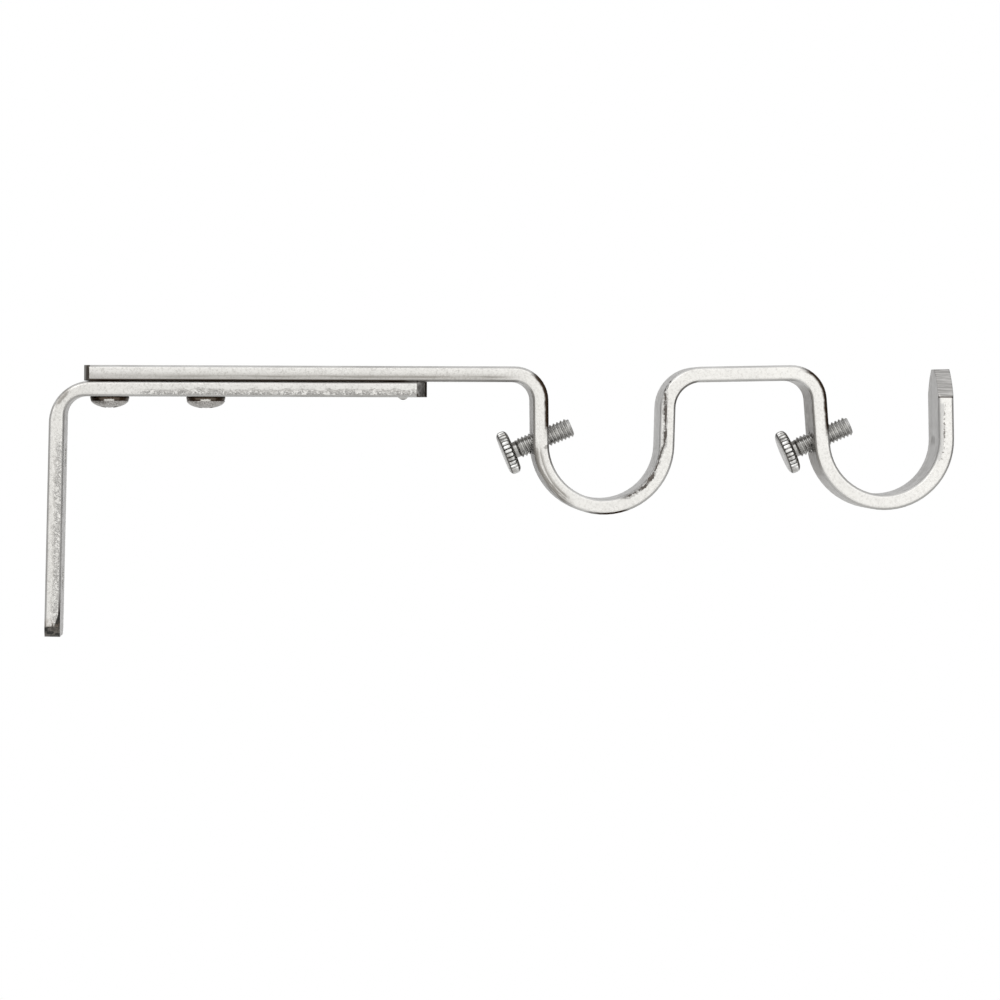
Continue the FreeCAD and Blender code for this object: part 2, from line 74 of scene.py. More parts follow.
class Nodes:
    """Short calls for a node tree. Values that are links are linked, others are set."""

    def __init__(self, tree):
        self.tree = tree

    def add(self, kind, inputs=None, **settings):
        made = self.tree.nodes.new("ShaderNode" + kind)
        for name, value in settings.items():
            setattr(made, name, value)
        for key, value in (inputs or {}).items():
            self.put(made.inputs[key], value)
        return made

    def put(self, socket, value):
        if isinstance(value, bpy.types.NodeSocket):
            self.tree.links.new(value, socket)
        else:
            socket.default_value = value

    def math(self, operation, first, second=0.0, third=0.0):
        return self.add("Math", {0: first, 1: second, 2: third}, operation=operation).outputs[0]

    def both(self, *masks):
        """Product of masks or of a mask and its strength."""
        result = masks[0]
        for mask in masks[1:]:
            result = self.math("MULTIPLY", result, mask)
        return result

    def either(self, *masks):
        result = masks[0]
        for mask in masks[1:]:
            result = self.math("MAXIMUM", result, mask)
        return result

    def vector(self, operation, first, second=(0, 0, 0), scale=None):
        made = self.add("VectorMath", {0: first, 1: second}, operation=operation)
        if scale is not None:
            self.put(made.inputs["Scale"], scale)
        return made.outputs["Value" if operation in ("DOT_PRODUCT", "LENGTH") else "Vector"]

    def ramp(self, value, low, high, to_low=0.0, to_high=1.0):
        inputs = {"Value": value, "From Min": low, "From Max": high, "To Min": to_low, "To Max": to_high}
        return self.add("MapRange", inputs, interpolation_type="SMOOTHSTEP").outputs["Result"]

    def fall(self, value, low, high):
        """1 below low, falling to 0 at high."""
        return self.ramp(value, low, high, 1.0, 0.0)

    def between(self, value, start, full, fade, end):
        """1 from full to fade, 0 before start and past end."""
        return self.both(self.ramp(value, start, full), self.fall(value, fade, end))

    def band(self, value, middle, half, soft):
        """1 within half of the middle, falling to 0 over the softness."""
        away = self.math("ABSOLUTE", self.math("SUBTRACT", value, middle))
        return self.fall(away, half, half + soft)

    def mix(self, factor, first, second):
        made = self.add("Mix", data_type="RGBA")
        self.put(made.inputs["Factor"], factor)
        for socket, value in zip([s for s in made.inputs if s.type == "RGBA"], (first, second)):
            self.put(socket, value)
        return next(s for s in made.outputs if s.type == "RGBA")

    def noise(self, vector, scale, detail=2.0, roughness=0.5, distortion=0.0):
        inputs = {"Vector": vector, "Scale": scale, "Detail": detail, "Roughness": roughness,
                  "Distortion": distortion}
        return self.add("TexNoise", inputs).outputs[0]

    def streaks(self, place, stretch, detail=3.0, roughness=0.6):
        """Noise with a scale of its own along each axis."""
        return self.noise(self.vector("MULTIPLY", place, stretch), 1.0, detail, roughness)

    def combine(self, x, y, z):
        return self.add("CombineXYZ", {0: x, 1: y, 2: z}).outputs[0]


def new_material(name):
    material = bpy.data.materials.new(name)
    material.use_nodes = True
    material.node_tree.nodes.clear()
    nodes = Nodes(material.node_tree)
    shader = nodes.add("BsdfPrincipled")
    output = nodes.add("OutputMaterial")
    nodes.put(output.inputs["Surface"], shader.outputs[0])
    shader.inputs["Metallic"].default_value = 1.0
    return material, nodes, shader


class Surface:
    """Where a point of a bar lies and which way it faces, from its object coordinates."""

    def __init__(self, nodes):
        self.nodes = nodes
        source = nodes.add("TexCoord")
        self.place = nodes.vector("SCALE", source.outputs["Object"], scale=1 / MM)
        normal = source.outputs["Normal"]
        along = (math.cos(ARM_RISE), 0, math.sin(ARM_RISE))
        square = (-math.sin(ARM_RISE), 0, math.cos(ARM_RISE))
        lifted = nodes.vector("SUBTRACT", self.place, (0, 0, MEETING_HEIGHT))
        self.u = nodes.vector("DOT_PRODUCT", lifted, along)
        self.v = nodes.vector("DOT_PRODUCT", lifted, square)
        self.x, self.y, self.z = (nodes.vector("DOT_PRODUCT", self.place, axis)
                                  for axis in ((1, 0, 0), (0, 1, 0), (0, 0, 1)))
        self.gap_mouth = nodes.ramp(nodes.math("ABSOLUTE", self.y), 6.6, 7.1)
        self.flat = nodes.combine(self.u, self.v, 0.0)
        self.facing_y = nodes.vector("DOT_PRODUCT", normal, (0, 1, 0))
        self.turned_y = nodes.math("ABSOLUTE", self.facing_y)
        self.facing_z = nodes.vector("DOT_PRODUCT", normal, (0, 0, 1))
        self.dim_side = nodes.vector("DOT_PRODUCT", normal, (0.80, 0, -0.60))
        self.cut_face = nodes.ramp(self.turned_y, 0.80, 0.95)
        self.rolled_face = nodes.fall(self.turned_y, 0.3, 0.6)
        self.broken_edge = nodes.between(self.turned_y, 0.25, 0.5, 0.86, 0.97)
        self.front = nodes.fall(self.facing_y, -0.62, -0.40)

    def cradle_depth(self, seat):
        """Distance into the bar from the inside of a cradle, along its walls and seat."""
        nodes = self.nodes
        u, v = seat["centre"]
        sideways = nodes.math("SUBTRACT", self.u, u)
        below = nodes.math("MINIMUM", nodes.math("SUBTRACT", self.v, v), 0.0)
        reach = nodes.vector("LENGTH", nodes.combine(sideways, below, 0.0))
        return nodes.math("SUBTRACT", reach, seat["inside"])

    def shoulder_depth(self, bend):
        """Distance into the bar from the outside of the bend above a cradle's left wall."""
        nodes = self.nodes
        u, v = bend["centre"]
        fallen = nodes.math("MAXIMUM", nodes.math("SUBTRACT", v, self.v), 0.0)
        leaning = nodes.both(fallen, bend["lean"])
        sideways = nodes.math("SUBTRACT", nodes.math("SUBTRACT", self.u, u), leaning)
        above = nodes.math("MAXIMUM", nodes.math("SUBTRACT", self.v, v), 0.0)
        reach = nodes.vector("LENGTH", nodes.combine(sideways, above, 0.0))
        return nodes.math("SUBTRACT", bend["outside"], reach)

    def spot(self, centre, size, turn=0.0, soft=0.4, wobble=0.0, grain=1.2):
        """Blotch in the plane of the bar's sides: 1 inside an ellipse, 0 outside."""
        nodes = self.nodes
        inputs = {"Vector": self.flat, "Location": (*centre, 0), "Rotation": (0, 0, math.radians(turn)),
                  "Scale": (*size, 1)}
        local = nodes.add("Mapping", inputs, vector_type="TEXTURE").outputs[0]
        reach = nodes.vector("LENGTH", local)
        if wobble:
            uneven = nodes.noise(self.place, grain, 3.0, 0.6)
            reach = nodes.math("MULTIPLY_ADD", nodes.math("SUBTRACT", uneven, 0.5), 2 * wobble, reach)
        return nodes.fall(reach, 1 - soft, 1 + soft)


# Plating of the bars

CUT_LIGHT, CUT_DULL = (0.80, 0.79, 0.77, 1), (0.66, 0.65, 0.63, 1)
ROLLED_LIGHT, ROLLED_DULL = (0.66, 0.655, 0.645, 1), (0.56, 0.555, 0.545, 1)
# These two colours serve real soot, grime and grain, and also painted shade where the marks below say so.
SOOT_AND_SHADE, GRIME_AND_SHADE = (0.035, 0.022, 0.014, 1), (0.24, 0.225, 0.205, 1)
# The gap colour is painted shade in the gap between the two bars.
GAP_SHADE, DRAG_GREY = (0.082, 0.062, 0.045, 1), (0.17, 0.165, 0.16, 1)
# The dark foot colour serves sooty blots and painted shade at the foot.
FOOT_SOOT_AND_SHADE, FOOT_TAN = (0.050, 0.049, 0.046, 1), (0.36, 0.30, 0.25, 1)
# The clips' tones differ from clip to clip as painted shade, set for the way each clip faces the light.
SHELF_CLIP_PAINTED_SHADE = (0.24, 0.235, 0.225, 1), (0.44, 0.43, 0.42, 1)
TIP_CLIP_PAINTED_SHADE = (0.36, 0.35, 0.34, 1), (0.60, 0.59, 0.575, 1)
ARM_CLIP_PAINTED_SHADE = (0.12, 0.115, 0.105, 1), (0.30, 0.29, 0.275, 1)
EDGE_SOFTENING = 0.6


def plating(here, shade_dullness):
    """Colour, roughness and relief of plain plating, before any marks. The dullness argument darkens the
    cut faces as painted shade and adds grey specks.
    """
    nodes = here.nodes
    fine = nodes.noise(here.place, 3.4, 4.0, 0.7)
    coarse = nodes.noise(here.place, 0.9)
    drift = nodes.noise(here.place, 0.13)
    tone = nodes.mix(here.cut_face, rolled_tone(here, drift), cut_tone(here, drift, shade_dullness))
    rough = nodes.ramp(coarse, 0.3, 0.7, 0.28, 0.38)
    relief = nodes.both(nodes.math("ADD", fine, coarse), nodes.ramp(here.cut_face, 0.0, 1.0, 0.004, 0.030))
    return tone, rough, relief


def cut_tone(here, drift, shade_dullness):
    """Sheared sides of the bars: bright, with grey specks."""
    nodes = here.nodes
    dull = nodes.math("ADD", shade_dullness, nodes.ramp(drift, 0.35, 0.75, 0.0, 0.3))
    grain = nodes.noise(here.place, 2.1, 4.0, 0.75)
    specks = nodes.both(nodes.ramp(grain, 0.47, 0.66), nodes.math("MULTIPLY_ADD", shade_dullness, 0.5, 0.22))
    return nodes.mix(specks, nodes.mix(dull, CUT_LIGHT, CUT_DULL), GRIME_AND_SHADE)


def rolled_tone(here, drift):
    """Wide faces of the bars: greyer, with fine lines along the rolling."""
    nodes = here.nodes
    rolling = nodes.streaks(here.place, (0.05, 1.5, 0.05))
    tone = nodes.mix(nodes.ramp(drift, 0.3, 0.7), ROLLED_LIGHT, ROLLED_DULL)
    return nodes.mix(nodes.ramp(rolling, 0.42, 0.68, 0.0, 0.28), tone, GRIME_AND_SHADE)


def shaded_worn_edges(here, strength):
    """Thin dark line on the bars' broken edges, on their right and lower sides: partly bare steel, partly
    painted shade where they face the dim side.
    """
    nodes = here.nodes
    patchy = nodes.noise(here.place, 0.6, 3.0, 0.6)
    level = nodes.math("MULTIPLY_ADD", patchy, 0.5, nodes.ramp(here.dim_side, 0.10, 0.6, 0.0, 0.95))
    return nodes.both(here.broken_edge, nodes.ramp(level, 0.45, 0.95), strength)


def sheared_end(here, window, tone, stripe, shades):
    """Clipped corner of two shades, drawn by the shear along the given direction."""
    nodes = here.nodes
    clip = nodes.both(window, nodes.between(here.turned_y, 0.12, 0.3, 0.88, 0.95))
    drawn = nodes.ramp(nodes.streaks(here.place, stripe), 0.36, 0.64)
    return nodes.mix(clip, tone, nodes.mix(drawn, *shades)), clip


def finish_bar(here, shader, tone, rough, relief):
    nodes = here.nodes
    nodes.put(shader.inputs["Base Color"], tone)
    nodes.put(shader.inputs["Roughness"], rough)
    bevel = nodes.add("Bevel", {"Radius": EDGE_SOFTENING * MM}, samples=8)
    bump = nodes.add("Bump", {"Height": relief, "Distance": 1.0 * MM, "Normal": bevel.outputs[0]})
    nodes.put(shader.inputs["Normal"], bump.outputs[0])


# Marks and painted shade of the wall bracket

def scallops(here, torn):
    """Dark and bright parts of the torn zone along the inner sides of shelf and leg."""
    nodes = here.nodes
    on_leg = nodes.fall(here.z, 18.0, 24.0)
    uneven = nodes.noise(here.place, 0.5)
    start = nodes.math("SUBTRACT", nodes.math("MULTIPLY_ADD", uneven, 1.7, 0.85), nodes.both(on_leg, 0.5))
    from_outside = nodes.math("SMOOTH_MIN", here.x, nodes.both(here.v, -1.0), 3.0)
    inward = nodes.math("SUBTRACT", from_outside, start)
    past_bend = nodes.either(nodes.ramp(here.u, 15.0, 23.0), nodes.fall(here.z, 12.0, 19.0))
    on_side = nodes.both(here.cut_face, past_bend)
    zone = nodes.both(nodes.ramp(inward, 0.0, 0.4), on_side)
    lines = nodes.fall(nodes.math("ABSOLUTE", nodes.math("SUBTRACT", torn, 0.5)), 0.012, 0.05)
    pits = nodes.ramp(torn, 0.53, 0.62)
    inside = nodes.both(zone, nodes.math("ADD", nodes.both(lines, 0.55), nodes.both(pits, 0.30)))
    border = nodes.both(nodes.band(inward, 0.25, 0.1, 0.35), on_side,
                        nodes.ramp(torn, 0.35, 0.65, 0.15, 0.55))
    dark = nodes.both(nodes.either(inside, border), nodes.ramp(on_leg, 0.0, 1.0, 1.0, 0.65))
    bright = nodes.both(zone, nodes.ramp(torn, 0.36, 0.44, 0.6, 0.0))
    return dark, bright


def shelf_marks(here, tone):
    """Press mark on the bend, and painted shade along the mouths of the gap under the arm."""
    nodes = here.nodes
    pressed = here.spot((2.65, -3.35), (2.3, 0.5), turn=50, soft=0.35, wobble=0.5)
    tone = nodes.mix(nodes.both(pressed, here.front, 0.75), tone, GRIME_AND_SHADE)
    # Painted shade in the gap under the arm.
    shade_under_arm = nodes.both(nodes.ramp(here.v, -0.22, -0.08), nodes.between(here.u, 8.5, 10.5, 71.0, 74.0),
                           here.gap_mouth)
    return nodes.mix(nodes.both(shade_under_arm, 0.92), tone, GAP_SHADE)


def leg_edges(here, tone):
    """Dark long edges of bare steel and painted shade, and a wedge of painted shade that narrows upwards
    from the foot.
    """
    nodes = here.nodes
    near_foot = nodes.ramp(here.z, -21.0, -15.0, 0.95, 0.0)
    tone = nodes.mix(shaded_worn_edges(here, nodes.math("ADD", near_foot, 0.05)), tone, SOOT_AND_SHADE)
    wall_edge = nodes.both(here.broken_edge, nodes.ramp(here.x, 0.8, 1.2, 0.35, 0.0))
    tone = nodes.mix(wall_edge, tone, GRIME_AND_SHADE)
    slanted = nodes.math("MULTIPLY_ADD", here.z, -0.333, here.x)
    # Painted shade on the leg's inner edge above the foot.
    wedge = nodes.both(here.front, nodes.fall(here.z, -18.6, -18.2), nodes.ramp(slanted, 9.3, 9.6))
    return nodes.mix(wedge, tone, FOOT_SOOT_AND_SHADE)


def inner_faces(here, torn, tone):
    """Darker in the hollow of the bend, and mottle down the leg's inner face."""
    nodes = here.nodes
    hollow = nodes.both(here.spot((5.0, -6.5), (4.2, 4.2), soft=0.5, wobble=0.3), here.rolled_face)
    tone = nodes.mix(nodes.both(hollow, 0.75), tone, GRIME_AND_SHADE)
    leg = nodes.both(nodes.ramp(here.x, 2.6, 3.1), nodes.fall(here.z, 16.0, 22.0), here.rolled_face)
    return nodes.mix(nodes.both(leg, nodes.ramp(torn, 0.38, 0.62, 0.20, 0.75)), tone, GRIME_AND_SHADE)


def bracket_ends(here, tone):
    """Clipped corners of shelf and foot, with the foot's spiky border and sooty blots, and painted shade
    where the foot's bottom and the shelf end's far edge round away.
    """
    nodes = here.nodes
    end = nodes.ramp(here.u, SHELF_CLIP_START - 0.1, SHELF_CLIP_START + 0.1)
    foot = nodes.fall(here.z, LEG_CLIP_END - 0.1, LEG_CLIP_END + 0.1)
    tone, clip = sheared_end(here, nodes.either(end, foot), tone, (1.6, 1.6, 0.8), SHELF_CLIP_PAINTED_SHADE)
    spikes = nodes.math("MULTIPLY_ADD", nodes.streaks(here.place, (2.2, 0.4, 0.5)), 7.0, here.z)
    tan_border = nodes.both(nodes.ramp(spikes, -18.8, -17.6, 0.5, 0.0), here.front)
    tone = nodes.mix(tan_border, tone, FOOT_TAN)

    blots = nodes.both(nodes.ramp(nodes.noise(here.place, 1.1, 3.0), 0.50, 0.60),
                       nodes.ramp(here.v, -2.6, -2.0, 1.0, 0.3), 0.8)
    foot_blots = nodes.both(foot, nodes.ramp(nodes.noise(here.place, 0.8, 3.0, 0.6), 0.47, 0.56, 0.6, 1.0))
    # Painted shade on the far edge of the shelf's clip, where its corner turns away to the right.
    far_edge_shade = nodes.ramp(here.u, SHELF_FAR_EDGE, SHELF_FAR_EDGE + 0.2)
    on_clip = nodes.both(clip, nodes.either(blots, foot_blots, far_edge_shade))
    # Painted shade on the front face above the foot's clip, where the foot's bottom rounds under.
    painted_foot_shade = nodes.both(nodes.fall(spikes, -19.6, -18.6), nodes.fall(here.facing_y, -0.25, -0.1),
                            nodes.math("SUBTRACT", 1.0, clip), 0.7)
    dark_tone = nodes.mix(nodes.ramp(here.z, 0.0, 1.0), FOOT_SOOT_AND_SHADE, SOOT_AND_SHADE)
    return nodes.mix(nodes.either(on_clip, painted_foot_shade), tone, dark_tone)


def stop_pip(here, tone):
    """The stop under the shelf: painted highlight where it starts, painted shade below."""
    nodes = here.nodes
    around = nodes.between(here.u, 70.0, 70.5, 74.5, 75.0)
    tone = nodes.mix(nodes.both(around, nodes.fall(here.v, -3.30, -3.20)), tone, CUT_LIGHT)
    return nodes.mix(nodes.both(around, nodes.ramp(here.v, -3.58, -3.36, 0.85, 0.0)), tone, SOOT_AND_SHADE)


def wall_bracket_material():
    """L-bar: grainy cut faces with a torn, scalloped zone along the bend's inner side."""
    material, nodes, shader = new_material("nickel_wall_bracket")
    here = Surface(nodes)
    # The bracket's cut faces a little darker than the arm's, as painted shade, with more grey specks.
    tone, rough, relief = plating(here, 0.20)
    torn = nodes.noise(here.place, 0.95, 4.0, 0.72, 0.7)
    dark, bright = scallops(here, torn)
    tone = nodes.mix(dark, nodes.mix(bright, tone, CUT_LIGHT), GRIME_AND_SHADE)
    relief = nodes.math("SUBTRACT", relief, nodes.both(dark, 0.16))
    tone = shelf_marks(here, tone)
    tone = leg_edges(here, tone)
    tone = inner_faces(here, torn, tone)
    tone = bracket_ends(here, tone)
    tone = stop_pip(here, tone)
    finish_bar(here, shader, tone, rough, relief)
    return material


# Marks and painted shade of the cradle arm

SHOULDERS = (
    {"centre": (95.50, -3.73), "outside": 7.03, "lean": 0.012,
     "window": ((101.8, -3.4), (3.0, 6.6), 8), "solid": 0.33, "gone": 0.80},
    {"centre": (152.82, -3.68), "outside": 7.375, "lean": 0.077,
     "window": ((159.4, -2.6), (3.8, 8.2), 14), "solid": 0.20, "gone": 0.70},
)


def shaded_shoulders(here):
    """Black bands of painted shade where the bar's edge is drawn round on the outside of the two bends."""
    nodes = here.nodes
    uneven = nodes.noise(here.place, 0.8, 3.0, 0.6)
    bands = []
    for bend in SHOULDERS:
        level = nodes.math("MULTIPLY_ADD", uneven, -0.5, here.shoulder_depth(bend))
        centre, size, turn = bend["window"]
        window = here.spot(centre, size, turn=turn, soft=0.25, wobble=0.2)
        bands.append(nodes.both(window, nodes.fall(level, bend["solid"], bend["gone"])))
    return nodes.both(nodes.either(*bands), here.front)


def dark_edge_places(here):
    """Where the photograph's dark edge lines are strong: left walls, seats and the bridge."""
    nodes = here.nodes
    strong = nodes.either(
        here.spot((115.0, -27.4), (5.5, 1.6), soft=0.3), here.spot((164.3, -20.4), (3.0, 2.2)),
        nodes.both(here.spot((103.3, -16.5), (1.6, 3.6), turn=20), 0.5))
    fair = nodes.both(here.spot((130.6, -1.6), (3.2, 4.2), soft=0.3), 0.7)
    under = nodes.both(nodes.ramp(here.u, 73.0, 74.5, 0.0, 0.5), nodes.fall(here.u, 96.0, 99.0))
    return nodes.either(strong, fair, under, 0.12)


def straight_shade_and_scoring(here, tone):
    """Painted shade on the lower part of the arm's straight run, where its edge rounds away, under a faint
    scored line.
    """
    nodes = here.nodes
    on_straight = nodes.both(nodes.fall(here.u, 90.0, 99.0), here.cut_face)
    shaded_low_part = nodes.ramp(here.v, 1.0, 2.2, 0.42, 0.0)
    drawn = nodes.ramp(nodes.streaks(here.place, (0.08, 0.08, 2.0)), 0.35, 0.65, 0.1, 0.45)
    scored = nodes.both(nodes.band(here.v, 1.0, 0.08, 0.30), nodes.ramp(here.u, 12.0, 30.0), drawn)
    return nodes.mix(nodes.both(on_straight, nodes.math("ADD", shaded_low_part, scored)), tone, GRIME_AND_SHADE)


def arm_edges(here, tone):
    """Painted shade of the gap over the shelf, dark edge lines of bare steel and painted shade, and borders
    of the left walls.
    """
    nodes = here.nodes
    # Painted shade in the gap over the shelf.
    shade_over_shelf = nodes.both(nodes.between(here.v, -0.5, -0.4, 0.34, 0.46), nodes.fall(here.u, 77.0, 78.5),
                            nodes.ramp(here.u, 72.5, 75.0, 1.0, 0.35), here.gap_mouth)
    tone = nodes.mix(nodes.both(shade_over_shelf, 0.97), tone, GAP_SHADE)
    tone = nodes.mix(shaded_worn_edges(here, dark_edge_places(here)), tone, SOOT_AND_SHADE)
    tone = nodes.mix(shaded_shoulders(here), tone, SOOT_AND_SHADE)
    left_walls = nodes.either(*(here.spot((u, -10.0), (2.6, 11.0), soft=0.3) for u in (99.5, 157.2)))
    left_border = nodes.both(here.broken_edge, left_walls, nodes.ramp(here.dim_side, -0.3, -0.1, 0.75, 0.0))
    return nodes.mix(left_border, tone, GRIME_AND_SHADE)


def arm_rolled_faces(here, tone):
    """Painted shade on the wide faces under the arm and behind the two cradles' left walls."""
    nodes = here.nodes
    shaded_underside = nodes.both(here.rolled_face, nodes.ramp(here.facing_z, -0.15, -0.75), 0.55)
    tone = nodes.mix(shaded_underside, tone, GRIME_AND_SHADE)
    front_wall_side_shade = here.spot((157.5, -12.0), (3.0, 14.0), soft=0.3)
    rear_wall_side_shade = nodes.both(here.spot((99.5, -10.0), (3.0, 12.0), soft=0.3), 0.8)
    return nodes.mix(nodes.both(nodes.either(front_wall_side_shade, rear_wall_side_shade), here.rolled_face), tone, GRIME_AND_SHADE)


def dragged_wall(here, depth, tone):
    """Drag streaks low on the rear cradle's left wall, on its cut face and its outside."""
    nodes = here.nodes
    wiped = nodes.streaks(nodes.combine(depth, here.u, 0.0), (2.6, 0.22, 1.0))
    on_front = nodes.both(here.spot((102.4, -19.8), (2.8, 7.6), turn=30, soft=0.3, wobble=0.25), here.front,
                          nodes.ramp(depth, 1.1, 2.0), nodes.ramp(wiped, 0.34, 0.52, 0.1, 1.0), 0.9)
    tone = nodes.mix(on_front, tone, GRIME_AND_SHADE)
    pulled = nodes.streaks(nodes.combine(here.y, here.u, 0.0), (0.42, 0.12, 1.0), 4.0, 0.65)
    outside = nodes.both(here.spot((102.4, -20.4), (4.2, 8.0), turn=32, soft=0.3, wobble=0.2),
                         here.rolled_face, nodes.ramp(pulled, 0.38, 0.58, 0.15, 0.85))
    return nodes.mix(outside, tone, DRAG_GREY)


def fracture(here, depth):
    """Torn shear line down the right wall of the rear cradle and round under its seat."""
    nodes = here.nodes
    wander = nodes.noise(here.place, 0.35)
    middle = nodes.math("MULTIPLY_ADD", wander, 0.5, nodes.ramp(here.v, -14.5, -12.2, 0.22, 0.95))
    ragged = nodes.noise(here.place, 1.6, 5.0, 0.75)
    reach = nodes.both(nodes.between(here.u, 116.5, 119.5, 129.0, 129.5), nodes.fall(here.v, 0.6, 1.4))
    away = nodes.math("ABSOLUTE", nodes.math("SUBTRACT", depth, middle))
    off_line = nodes.math("SUBTRACT", away, nodes.math("MULTIPLY_ADD", ragged, 1.5, -0.60))
    line = nodes.fall(off_line, -0.10, 0.05)
    beside = nodes.both(nodes.ramp(off_line, 0.0, 0.55, 0.55, 0.0),
                        nodes.ramp(ragged, 0.38, 0.58, 0.35, 1.0))
    blots = nodes.either(
        here.spot((123.75, -19.75), (1.2, 0.42), turn=50, soft=0.3, wobble=0.7, grain=2.0),
        here.spot((122.4, -21.6), (0.9, 0.25), turn=40, soft=0.3, wobble=0.7, grain=2.0),
        here.spot((126.75, -10.8), (0.30, 1.3), turn=-4, soft=0.3, wobble=0.9, grain=2.0),
        here.spot((127.5, 0.3), (0.35, 0.3), turn=30, soft=0.3, wobble=0.5),
        here.spot((126.8, -6.5), (0.22, 2.6), turn=-2, soft=0.3, wobble=0.9, grain=2.0))
    return nodes.both(nodes.either(nodes.both(reach, nodes.either(line, beside)), blots), here.front)


def tip_border(here, tone):
    """Duller, pitted border along the inner side of the front cradle's right wall."""
    nodes = here.nodes
    width = nodes.math("MULTIPLY_ADD", nodes.noise(here.place, 0.9, 3.0, 0.6), 1.3, 0.34)
    inward = nodes.math("SUBTRACT", here.cradle_depth(FRONT_SEAT), width)
    on_wall = nodes.both(here.front, nodes.ramp(here.u, 182.0, 182.5),
                         nodes.between(here.v, -17.5, -15.0, TIP_CLIP_START - 1.6, TIP_CLIP_START - 0.9))
    tone = nodes.mix(nodes.both(on_wall, nodes.ramp(inward, -0.05, 0.05, 0.85, 0.0)), tone, ROLLED_DULL)
    pits = nodes.both(on_wall, nodes.band(inward, 0.12, 0.05, 0.2),
                      nodes.ramp(nodes.noise(here.place, 2.2), 0.46, 0.56), 0.7)
    return nodes.mix(pits, tone, SOOT_AND_SHADE)


def screw_marks(here, tone):
    """Dark marks beside and around the thumb screws, and one inside the tip."""
    nodes = here.nodes
    by_rear = nodes.both(here.spot((102.3, -13.3), (0.8, 0.4), turn=20, soft=0.3, wobble=0.5), here.front)
    by_front = nodes.both(here.spot((157.0, -9.6), (0.6, 0.35), wobble=0.6),
                          nodes.ramp(here.y, -7.0, -5.0, 1.0, 0.2))
    tone = nodes.mix(nodes.both(nodes.either(by_rear, by_front), 0.5), tone, SOOT_AND_SHADE)
    inside_tip = nodes.both(here.spot((183.4, -11.7), (0.5, 0.8), soft=0.5, wobble=0.6),
                            nodes.band(here.y, 1.0, 2.2, 1.5), 0.45)
    tone = nodes.mix(inside_tip, tone, SOOT_AND_SHADE)
    seats = [here.spot(seat["wall"], (3.6, 3.1), soft=0.45, wobble=0.35) for seat in THUMB_SEATS.values()]
    around = nodes.both(nodes.either(*seats), nodes.band(here.y, 0.0, 2.4, 1.6),
                        nodes.fall(here.turned_y, 0.3, 0.5), 0.6)
    return nodes.mix(around, tone, SOOT_AND_SHADE)


def arm_ends(here, tone):
    """Clipped corners of the tip and the wall end, with painted shade along the crease under the tip's clip
    and along the front edge of the wall end's clip.
    """
    nodes = here.nodes
    on_tip = nodes.ramp(here.u, 180.0, 180.5)
    tip = nodes.both(on_tip, nodes.ramp(here.v, TIP_CLIP_START - 0.1, TIP_CLIP_START))
    wall_end = nodes.fall(here.u, ARM_CLIP_END, ARM_CLIP_END + 0.2)
    tone, _ = sheared_end(here, tip, tone, (0.25, 2.4, 3.2), TIP_CLIP_PAINTED_SHADE)
    tone, clip = sheared_end(here, wall_end, tone, (2.4, 2.4, 0.25), ARM_CLIP_PAINTED_SHADE)
    # Painted shade along the crease under the tip's clip.
    crease = nodes.both(nodes.band(here.v, TIP_CLIP_START, 0.09, 0.10), on_tip, here.front, 0.85)
    # Painted shade along the front edge of the wall end's clip.
    step = nodes.both(clip, nodes.fall(here.y, -7.5, -7.3), 0.6)
    return nodes.mix(nodes.either(crease, step), tone, SOOT_AND_SHADE)


def cradle_arm_material():
    """Cradle bar: brighter cut faces, with the marks of shearing and bending and painted shade on its
    edges, bends, ends and undersides.
    """
    material, nodes, shader = new_material("nickel_cradle_arm")
    here = Surface(nodes)
    # Cut faces darker towards the wall end, as painted shade, with more grey specks there.
    tone, rough, relief = plating(here, nodes.ramp(here.u, 80.0, 104.0, 0.22, 0.0))
    tone = straight_shade_and_scoring(here, tone)
    tone = arm_edges(here, tone)
    tone = arm_rolled_faces(here, tone)
    rear_depth = here.cradle_depth(REAR_SEAT)
    tone = dragged_wall(here, rear_depth, tone)
    torn = fracture(here, rear_depth)
    tone = nodes.mix(nodes.both(torn, 0.9), tone, SOOT_AND_SHADE)
    relief = nodes.math("SUBTRACT", relief, nodes.both(torn, 0.12))
    tone = tip_border(here, tone)
    tone = screw_marks(here, tone)
    tone = arm_ends(here, tone)
    finish_bar(here, shader, tone, rough, relief)
    return material


# Materials of the screws. A screw's own X axis runs through it and starts under its head.

ZINC, ZINC_DULL = (0.84, 0.84, 0.83, 1), (0.6048, 0.6048, 0.5976, 1)
THREAD_ROOT_SHADE, BLACK_THREAD = (0.13, 0.125, 0.12, 1), (0.09, 0.085, 0.08, 1)
KNURL_ROOT_SHADE, KNURL_BORDER_SHADE = (0.035, 0.03, 0.028, 1), (0.05, 0.045, 0.04, 1)
DOME_LIGHT, DOME_DULL = (0.60, 0.585, 0.57, 1), (0.30, 0.285, 0.27, 1)
RIM_SHADE, RIM_HIGHLIGHT = (0.08, 0.06, 0.043, 1), (0.85, 0.83, 0.79, 1)
KNURL_START, KNURL_END = -2.05, -0.42
HIGHLIGHT_PLACES = 4.0


def screw_axes(nodes):
    """Place in mm, the way along the screw and the distance from its axis."""
    place = nodes.vector("SCALE", nodes.add("TexCoord").outputs["Object"], scale=1 / MM)
    along = nodes.vector("DOT_PRODUCT", place, (1, 0, 0))
    radius = nodes.vector("LENGTH", nodes.vector("MULTIPLY", place, (0, 1, 1)))
    return place, along, radius


def finish_screw(nodes, shader, tone, rough, height, strength, distance):
    nodes.put(shader.inputs["Base Color"], tone)
    nodes.put(shader.inputs["Roughness"], rough)
    bump = nodes.add("Bump", {"Height": height, "Strength": strength, "Distance": distance * MM})
    nodes.put(shader.inputs["Normal"], bump.outputs[0])


